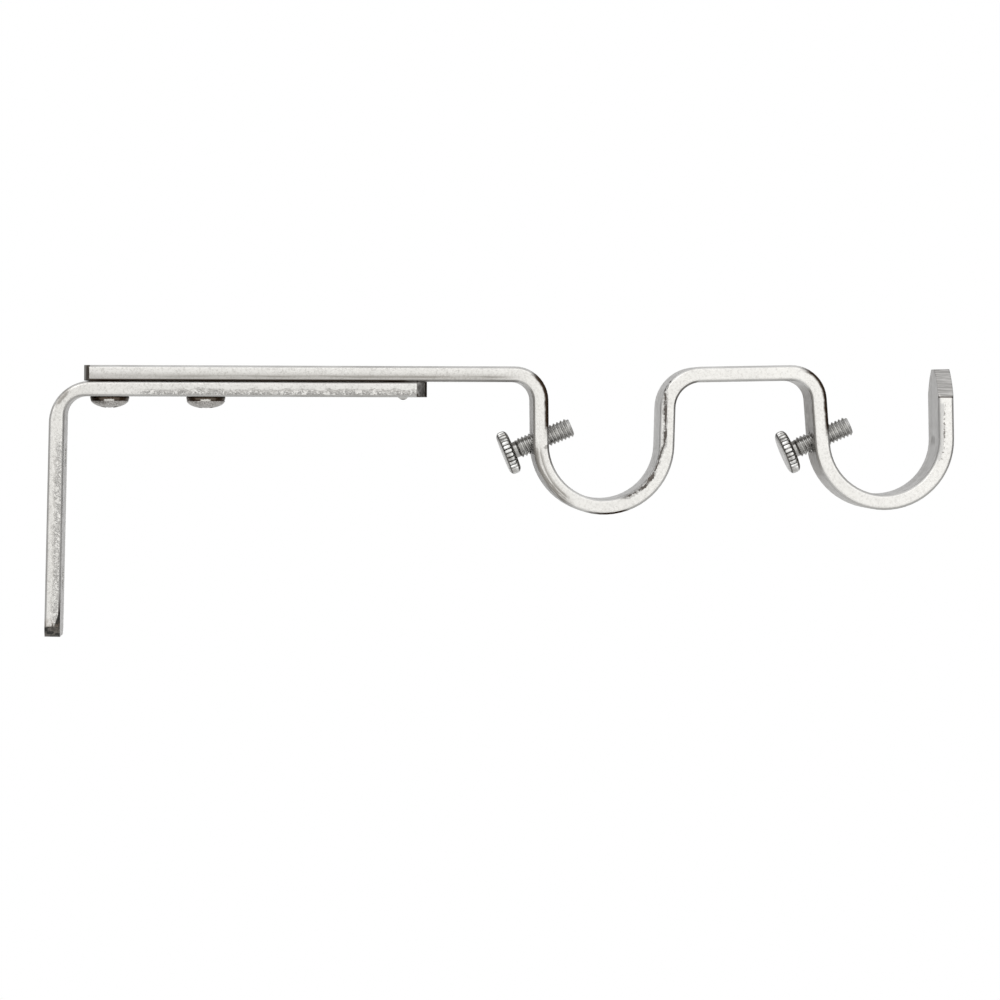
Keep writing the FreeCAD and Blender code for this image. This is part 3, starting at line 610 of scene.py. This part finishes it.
def knurl_tone(nodes, place, along, radius, tone):
    """Grooves between two borders, darkened as painted shade, patchy grime on the knurl, and painted shade
    on the head's flat sides.
    """
    start, end = KNURL_START, KNURL_END
    on_knurl = nodes.between(along, start - 0.1, start + 0.1, end - 0.1, end + 0.1)
    # Painted shade in the knurl's grooves.
    grooves = nodes.both(on_knurl, nodes.ramp(radius, 4.24, 4.44, 0.95, 0.0))
    tone = nodes.mix(grooves, tone, KNURL_ROOT_SHADE)
    borders = nodes.either(nodes.band(along, start - 0.02, 0.08, 0.12),
                           nodes.band(along, end + 0.02, 0.06, 0.12))
    tone = nodes.mix(nodes.both(borders, 0.85), tone, KNURL_BORDER_SHADE)
    patchy = nodes.both(on_knurl, nodes.ramp(nodes.noise(place, 0.55, 1.0), 0.46, 0.60, 0.0, 0.5))
    tone = nodes.mix(patchy, tone, GRIME_AND_SHADE)
    # Painted shade on the head's outer flat side.
    tone = nodes.mix(nodes.ramp(along, start - 0.2, start - 0.1, 0.28, 0.0), tone, GRIME_AND_SHADE)
    seat_side_shade = nodes.both(nodes.ramp(along, end + 0.1, end + 0.2, 0.0, 0.55), nodes.fall(along, 0.0, 0.1))
    return nodes.mix(seat_side_shade, tone, GRIME_AND_SHADE)


def thumb_screw_material():
    """Zinc plated steel, with painted shade in the thread's roots and the knurl's grooves."""
    material, nodes, shader = new_material("zinc_thumb_screw")
    place, along, radius = screw_axes(nodes)
    fine = nodes.noise(place, 4.0, 3.0, 0.6)
    tone = nodes.mix(nodes.ramp(nodes.noise(place, 0.8), 0.35, 0.75), ZINC, ZINC_DULL)
    on_thread = nodes.ramp(along, 0.0, 0.1)
    tone = nodes.mix(nodes.both(on_thread, 0.28), tone, GRIME_AND_SHADE)
    # Painted shade in the thread's roots.
    roots = nodes.both(on_thread, nodes.ramp(radius, 1.70, 1.88, 0.35, 0.0))
    tone = nodes.mix(roots, tone, THREAD_ROOT_SHADE)
    tone = knurl_tone(nodes, place, along, radius, tone)
    tone = nodes.mix(nodes.ramp(fine, 0.60, 0.72, 0.0, 0.35), tone, GRIME_AND_SHADE)
    finish_screw(nodes, shader, tone, nodes.ramp(fine, 0.3, 0.7, 0.22, 0.35), fine, 0.25, 0.04)
    return material


def rim_tone(nodes, place, along, radius, fine, tone):
    """Upright rim of a pan head in painted shade, with a painted highlight in a few places around it."""
    y, z = (nodes.vector("DOT_PRODUCT", place, axis) for axis in ((0, 1, 0), (0, 0, 1)))
    highlight_angle = nodes.math("COSINE", nodes.both(nodes.math("ARCTAN2", y, z), HIGHLIGHT_PLACES))
    level = nodes.math("MULTIPLY_ADD", fine, 0.4, along)
    on_head = nodes.fall(along, 0.0, 0.1)
    rim = nodes.both(nodes.ramp(level, -0.80, -0.68), on_head)
    # Painted shade on the rim.
    tone = nodes.mix(nodes.both(rim, 0.95), tone, RIM_SHADE)
    # Deeper painted shade under the dome, next to the seat and between the highlights.
    under_dome = nodes.both(nodes.band(level, -0.66, 0.04, 0.10), nodes.fall(highlight_angle, 0.15, 0.40))
    sooty = nodes.either(nodes.ramp(level, -0.12, 0.02), nodes.fall(highlight_angle, -0.8, -0.4), under_dome)
    tone = nodes.mix(nodes.both(rim, sooty), tone, SOOT_AND_SHADE)
    # Painted highlight on the rim.
    gleam = nodes.both(nodes.band(level, -0.56, 0.12, 0.08), nodes.ramp(highlight_angle, 0.40, 0.65),
                       nodes.ramp(radius, 3.0, 3.5), on_head, 0.9)
    return nodes.mix(gleam, tone, RIM_HIGHLIGHT), rim


def machine_screw_material():
    """Pan head with a rim of painted shade and painted highlights, a grey dome of fine lines, on a
    blackened thread.
    """
    material, nodes, shader = new_material("zinc_machine_screw")
    place, along, radius = screw_axes(nodes)
    fine = nodes.noise(place, 3.6, 3.0, 0.65)
    lines = nodes.streaks(place, (0.5, 3.8, 3.8), roughness=0.65)
    tone = nodes.mix(nodes.ramp(lines, 0.36, 0.62), DOME_LIGHT, DOME_DULL)
    tone, rim = rim_tone(nodes, place, along, radius, fine, tone)
    on_thread = nodes.both(nodes.between(along, 0.0, 0.1, 5.95, 6.15),
                           nodes.ramp(radius, 1.62, 1.98, 0.8, 0.2))
    tone = nodes.mix(on_thread, tone, BLACK_THREAD)
    height = nodes.math("ADD", fine, nodes.both(lines, 1.4))
    finish_screw(nodes, shader, tone, nodes.ramp(rim, 0.0, 1.0, 0.30, 0.17), height, 0.5, 0.06)
    return material


# Shapes of the screws, in millimetres

PITCH, TURN_STEPS = 0.794, 48
THREAD_TOP, THREAD_DEPTH, THREAD_RUN_IN = 2.08, 0.38, 1.65
NECK_RADIUS, NECK_LENGTH = 1.7, 0.75
THUMB_LENGTH, THUMB_STANDOFF, THUMB_POINT = 12.9, 5.7, 0.45
THUMB_HEAD = (
    (-2.40, 0.02, 0), (-2.40, 3.0, 0), (-2.40, 3.70, 0), (-2.37, 3.86, 0), (-2.28, 4.04, 0),
    (-2.14, 4.22, 0.15), (-2.02, 4.38, 0.6), (-1.90, 4.50, 0.9), (-1.70, 4.57, 1), (-1.45, 4.60, 1),
    (-1.20, 4.60, 1), (-0.95, 4.60, 1), (-0.70, 4.57, 1), (-0.50, 4.50, 0.9), (-0.38, 4.38, 0.6),
    (-0.26, 4.22, 0.15), (-0.12, 4.04, 0), (-0.03, 3.86, 0), (0.0, 3.70, 0), (0.0, 2.6, 0), (0.0, 1.65, 0),
)
KNURLS, KNURL_STEPS, KNURL_DEPTH = 30, 10, 0.36
PAN_RADIUS, PAN_RIM, PAN_HEIGHT, PAN_STEPS = 4.05, 0.45, 2.4, 96
DOME_RINGS = 14
RECESS = {"reach": 2.2, "half_width": 0.5, "depth": 1.4, "turn": math.radians(45)}
ADJUSTING_LENGTH, ADJUSTING_POINT = 6.2, 0.35


def thread_strip(mesh, begin, end, point):
    """Helical V thread along +X from begin to end, its radius limited at both ends."""
    profile = [(0.0, 1.0), (0.06, 1.0), (0.40, 0.06), (0.50, 0.0), (0.60, 0.06), (0.94, 1.0)]

    def limit(x):
        growing = THREAD_RUN_IN + (x - begin) * 0.8
        closing = THREAD_TOP - point + (end - x)
        return min(THREAD_TOP, growing, closing)

    turns = int((end - begin) / PITCH) + 3
    rows = []
    for step in range(turns * TURN_STEPS + 1):
        angle = step * 2 * math.pi / TURN_STEPS
        row = []
        for share, height in profile:
            x = begin - PITCH + (step / TURN_STEPS + share) * PITCH
            x = min(max(x, begin), end)
            radius = min(THREAD_TOP - (1 - height) * THREAD_DEPTH, limit(x))
            row.append(mesh.verts.new((x, radius * math.cos(angle), radius * math.sin(angle))))
        rows.append(row)
    for step, (row, following) in enumerate(zip(rows, rows[1:])):
        for a, b, c, d in zip(row, row[1:], following[1:], following):
            mesh.faces.new((a, b, c, d))
        later = step + TURN_STEPS
        if later + 1 < len(rows):
            mesh.faces.new((row[-1], rows[later][0], rows[later + 1][0], following[-1]))


def ring_surface(mesh, rings, steps, cut=None):
    """Surface through rings (x, radius), or (x, radius, share of the cut at each angle)."""
    made = []
    for x, radius, *share in rings:
        made.append([])
        for step in range(steps):
            angle = 2 * math.pi * step / steps
            r = radius - share[0] * cut(angle) if share else radius
            made[-1].append(mesh.verts.new((x, r * math.cos(angle), r * math.sin(angle))))
    for first, second in zip(made, made[1:]):
        for step in range(steps):
            after = (step + 1) % steps
            mesh.faces.new((first[step], second[step], second[after], first[after]))
    return made


def knurled_head(mesh, seed):
    """Thumb screw head: crowned rim with knurl grooves between two smooth shoulders."""
    rng = random.Random(seed)
    depths = [KNURL_DEPTH * (0.85 + 0.3 * rng.random()) for _ in range(KNURLS)]

    def groove(angle):
        turn = (angle / (2 * math.pi) * KNURLS) % KNURLS
        offset = abs(turn - math.floor(turn) - 0.5) * 2
        return depths[int(turn) % KNURLS] * max(0.0, offset - 0.42) / 0.58

    ring_surface(mesh, THUMB_HEAD, KNURLS * KNURL_STEPS, groove)


def pan_head(mesh, roundness):
    """Pan head as a closed turned solid with a softened rim."""
    dome = []
    for step in range(DOME_RINGS + 1):
        radius = (PAN_RADIUS - 0.12) * math.sin(step / DOME_RINGS * math.pi / 2)
        drop = (1 - (radius / PAN_RADIUS) ** roundness) ** (1 / roundness)
        dome.append((-PAN_RIM - (PAN_HEIGHT - PAN_RIM) * drop, max(radius, 0.01)))
    rim = [(-PAN_RIM + 0.04, PAN_RADIUS - 0.03), (-PAN_RIM + 0.14, PAN_RADIUS), (-0.14, PAN_RADIUS),
           (-0.04, PAN_RADIUS - 0.05), (0.0, PAN_RADIUS - 0.16), (0.0, 1.65), (0.02, 0.5)]
    made = ring_surface(mesh, dome + rim, PAN_STEPS)
    mesh.faces.new(made[0])
    mesh.faces.new(made[-1])


def cross_cutter():
    """Tapered cross that cuts the recess into a pan head."""
    mesh = bmesh.new()
    span, width, turn = RECESS["reach"], RECESS["half_width"], RECESS["turn"]
    corners = [(span, -width), (span, width), (width, width),
               (width, span), (-width, span), (-width, width),
               (-span, width), (-span, -width), (-width, -width),
               (-width, -span), (width, -span), (width, -width)]
    loops = []
    for inward, scale in ((-0.5, 1.04), (0.2, 1.0), (RECESS["depth"], 0.72)):
        x = inward - PAN_HEIGHT
        loop = []
        for across, upward in corners:
            y, z = across * scale, upward * scale
            loop.append(mesh.verts.new((x, y * math.cos(turn) - z * math.sin(turn),
                                        y * math.sin(turn) + z * math.cos(turn))))
        loops.append(loop)
    for first, second in zip(loops, loops[1:]):
        for n in range(len(corners)):
            after = (n + 1) % len(corners)
            mesh.faces.new((first[n], first[after], second[after], second[n]))
    mesh.faces.new(loops[0])
    mesh.faces.new(loops[-1])
    return object_from(mesh, "cross_cutter", Matrix.Identity(4))


def object_from(mesh, name, placement):
    """Object with its mesh in its own frame, written in mm, standing at a placement."""
    bmesh.ops.remove_doubles(mesh, verts=mesh.verts, dist=1e-5)
    bmesh.ops.recalc_face_normals(mesh, faces=mesh.faces)
    data = bpy.data.meshes.new(name)
    mesh.to_mesh(data)
    mesh.free()
    data.transform(Matrix.Scale(MM, 4))
    piece = bpy.data.objects.new(name, data)
    piece.matrix_world = placement
    bpy.context.scene.collection.objects.link(piece)
    return piece


def cut_away(piece, cutter):
    """Cuts one closed object out of another and throws the cutter away."""
    step = piece.modifiers.new("cut", "BOOLEAN")
    step.operation, step.solver, step.object = "DIFFERENCE", "EXACT", cutter
    evaluated = piece.evaluated_get(bpy.context.evaluated_depsgraph_get())
    whole = bpy.data.meshes.new_from_object(evaluated)
    piece.modifiers.remove(step)
    piece.data = whole
    bpy.data.objects.remove(cutter)


def recessed_pan_head(roundness):
    """Mesh in mm of a pan head with its cross recess cut in."""
    mesh = bmesh.new()
    pan_head(mesh, roundness)
    head = object_from(mesh, "pan_head", Matrix.Identity(4))
    cut_away(head, cross_cutter())
    mesh = bmesh.new()
    mesh.from_mesh(head.data)
    bmesh.ops.scale(mesh, vec=(1 / MM,) * 3, verts=mesh.verts)
    bpy.data.objects.remove(head)
    return mesh


def arm_frame():
    lift = Matrix.Translation((0, 0, MEETING_HEIGHT * MM))
    return lift @ Matrix.Rotation(-ARM_RISE, 4, "Y")


def hand_over(piece, node, material):
    """Gives a detailed screw its material and lets it stand for its plain CAD node."""
    piece.data.materials.clear()
    piece.data.materials.append(material)
    piece.data.polygons.foreach_set("use_smooth", [True] * len(piece.data.polygons))
    piece.data.set_sharp_from_angle(angle=math.radians(35))
    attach(piece, node)
    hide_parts(node)


def thumb_screw(which, material, seed):
    """Thumb screw with a real thread and knurl."""
    mesh = bmesh.new()
    knurled_head(mesh, seed)
    ring_surface(mesh, [(0.0, NECK_RADIUS), (0.3, NECK_RADIUS), (NECK_LENGTH, NECK_RADIUS)], TURN_STEPS)
    thread_strip(mesh, NECK_LENGTH, THUMB_LENGTH, THUMB_POINT)
    point = ring_surface(mesh, [(THUMB_LENGTH, THREAD_TOP - THUMB_POINT), (THUMB_LENGTH, 0.8)], TURN_STEPS)
    mesh.faces.new(point[-1])
    u, v = THUMB_SEATS[which]["wall"]
    place = Matrix.Translation(Vector((u, 0, v)) * MM)
    tilt = Matrix.Rotation(-math.radians(THUMB_SEATS[which]["tilt"]), 4, "Y")
    back_off = Matrix.Translation((-THUMB_STANDOFF * MM, 0, 0))
    piece = object_from(mesh, "thumb_screw_%s_detailed" % which, arm_frame() @ place @ tilt @ back_off)
    hand_over(piece, "thumb_screw_" + which, material)


def adjusting_screw(which, material, roundness):
    """Pan head screw, seen from below, with its recess and its thread up into the arm."""
    mesh = recessed_pan_head(roundness)
    thread_strip(mesh, 0.0, ADJUSTING_LENGTH, ADJUSTING_POINT)
    end = [(ADJUSTING_LENGTH, THREAD_TOP - ADJUSTING_POINT), (ADJUSTING_LENGTH, 0.6)]
    mesh.faces.new(ring_surface(mesh, end, TURN_STEPS)[-1])
    place = Matrix.Translation((ADJUSTING_REACH[which] * MM, 0, -BAR_THICKNESS * MM))
    upright = Matrix.Rotation(-math.pi / 2, 4, "Y")
    piece = object_from(mesh, "adjusting_screw_%s_detailed" % which, arm_frame() @ place @ upright)
    hand_over(piece, "adjusting_screw_" + which, material)


# Studio

ROOM_LEFT, ROOM_RIGHT = (0.74, 0.74, 0.74, 1), (0.40, 0.395, 0.39, 1)
ROOM_ABOVE, ROOM_BELOW = (0.90, 0.90, 0.90, 1), (0.48, 0.475, 0.47, 1)
ROOM_BACK, ROOM_FRONT = (0.42, 0.415, 0.41, 1), (0.95, 0.945, 0.925, 1)
WHITE = (1, 1, 1, 1)


def world():
    """White behind the object; around it a soft studio, bright in front, dim to the right."""
    made = bpy.data.worlds.new("studio")
    made.use_nodes = True
    made.node_tree.nodes.clear()
    nodes = Nodes(made.node_tree)
    toward = nodes.vector("NORMALIZE", nodes.add("TexCoord").outputs["Generated"])

    def lobe(direction, edge, full):
        unit = Vector(direction).normalized()
        return nodes.ramp(nodes.vector("DOT_PRODUCT", toward, tuple(unit)), edge, full)

    room = nodes.mix(lobe((1, 0, 0), -0.4, 0.8), ROOM_LEFT, ROOM_RIGHT)
    room = nodes.mix(lobe((0, 0, -1), 0.2, 0.9), room, ROOM_BELOW)
    room = nodes.mix(lobe((0.1, 0, 1), 0.1, 0.8), room, ROOM_ABOVE)
    room = nodes.mix(lobe((0, 1, 0), 0.45, 0.8), room, ROOM_BACK)
    room = nodes.mix(lobe((0.10, -1, 0.12), 0.45, 0.93), room, ROOM_FRONT)
    rays = nodes.add("LightPath")
    backdrop = nodes.both(lobe((0.05, 1, 0), 0.955, 0.99), rays.outputs["Is Glossy Ray"])
    seen = nodes.either(rays.outputs["Is Camera Ray"], rays.outputs["Is Transmission Ray"], backdrop)
    background = nodes.add("Background", {"Color": nodes.mix(seen, room, WHITE), "Strength": 1.0})
    output = nodes.add("OutputWorld")
    nodes.put(output.inputs["Surface"], background.outputs[0])
    bpy.context.scene.world = made


def soft_light(name, position, size, energy, target=(0.09, 0, 0.0)):
    lamp = bpy.data.lights.new(name, "AREA")
    lamp.shape = "SQUARE"
    lamp.size = size
    lamp.energy = energy
    thing = bpy.data.objects.new(name, lamp)
    thing.location = position
    aim = Vector(target) - Vector(position)
    thing.rotation_mode = "QUATERNION"
    thing.rotation_quaternion = aim.to_track_quat("-Z", "Y")
    bpy.context.scene.collection.objects.link(thing)


def floor():
    mesh = bpy.data.meshes.new("floor")
    side, low = 1.2, -0.30
    corners = [(-side, -side, low), (side, -side, low), (side, side, low), (-side, side, low)]
    mesh.from_pydata(corners, [], [(0, 1, 2, 3)])
    thing = bpy.data.objects.new("floor", mesh)
    bpy.context.scene.collection.objects.link(thing)
    material, nodes, shader = new_material("pale_floor")
    shader.inputs["Metallic"].default_value = 0.0
    place = nodes.vector("SCALE", nodes.add("TexCoord").outputs["Object"], scale=1 / MM)
    tone = nodes.mix(nodes.noise(place, 0.01, 3.0), (0.80, 0.80, 0.79, 1), (0.84, 0.84, 0.83, 1))
    nodes.put(shader.inputs["Base Color"], tone)
    shader.inputs["Roughness"].default_value = 0.8
    mesh.materials.append(material)


def camera():
    """The photograph's viewpoint: in front of the part's left third, 0.96 m away."""
    yaw, pitch, roll = math.radians(2.66), math.radians(-1.12), math.radians(1.38)
    forward = Vector((math.sin(yaw) * math.cos(pitch), math.cos(yaw) * math.cos(pitch), math.sin(pitch)))
    level = Vector((math.cos(yaw), -math.sin(yaw), 0))
    upright = level.cross(forward)
    right = math.cos(roll) * level + math.sin(roll) * upright
    up = -math.sin(roll) * level + math.cos(roll) * upright
    data = bpy.data.cameras.new("photo_camera")
    data.sensor_width = 36
    data.lens = 165.87
    data.clip_start, data.clip_end = 0.05, 20
    thing = bpy.data.objects.new("photo_camera", data)
    axes = Matrix((right, up, -forward)).transposed().to_4x4()
    thing.matrix_world = Matrix.Translation((0.04897, -0.95673, 0.024205)) @ axes
    bpy.context.scene.collection.objects.link(thing)
    bpy.context.scene.camera = thing


def dress(node, material):
    node.data.materials.clear()
    node.data.materials.append(material)


cad = frame["nodes"]
dress(cad["wall_bracket"], wall_bracket_material())
dress(cad["cradle_arm"], cradle_arm_material())

machine_steel = machine_screw_material()
for which, roundness in (("inner", 1.95), ("outer", 2.25)):
    dress(cad["adjusting_screw_" + which], machine_steel)
    adjusting_screw(which, machine_steel, roundness)

thumb_steel = thumb_screw_material()
for seed, which in enumerate(("rear", "front")):
    dress(cad["thumb_screw_" + which], thumb_steel)
    thumb_screw(which, thumb_steel, seed)

world()
floor()
soft_light("key", (-0.8, -1.3, 1.0), 1.4, 7)
soft_light("fill", (0.8, -1.4, 0.4), 1.2, 2.4)
camera()
bpy.context.scene.view_settings.view_transform = "Standard"
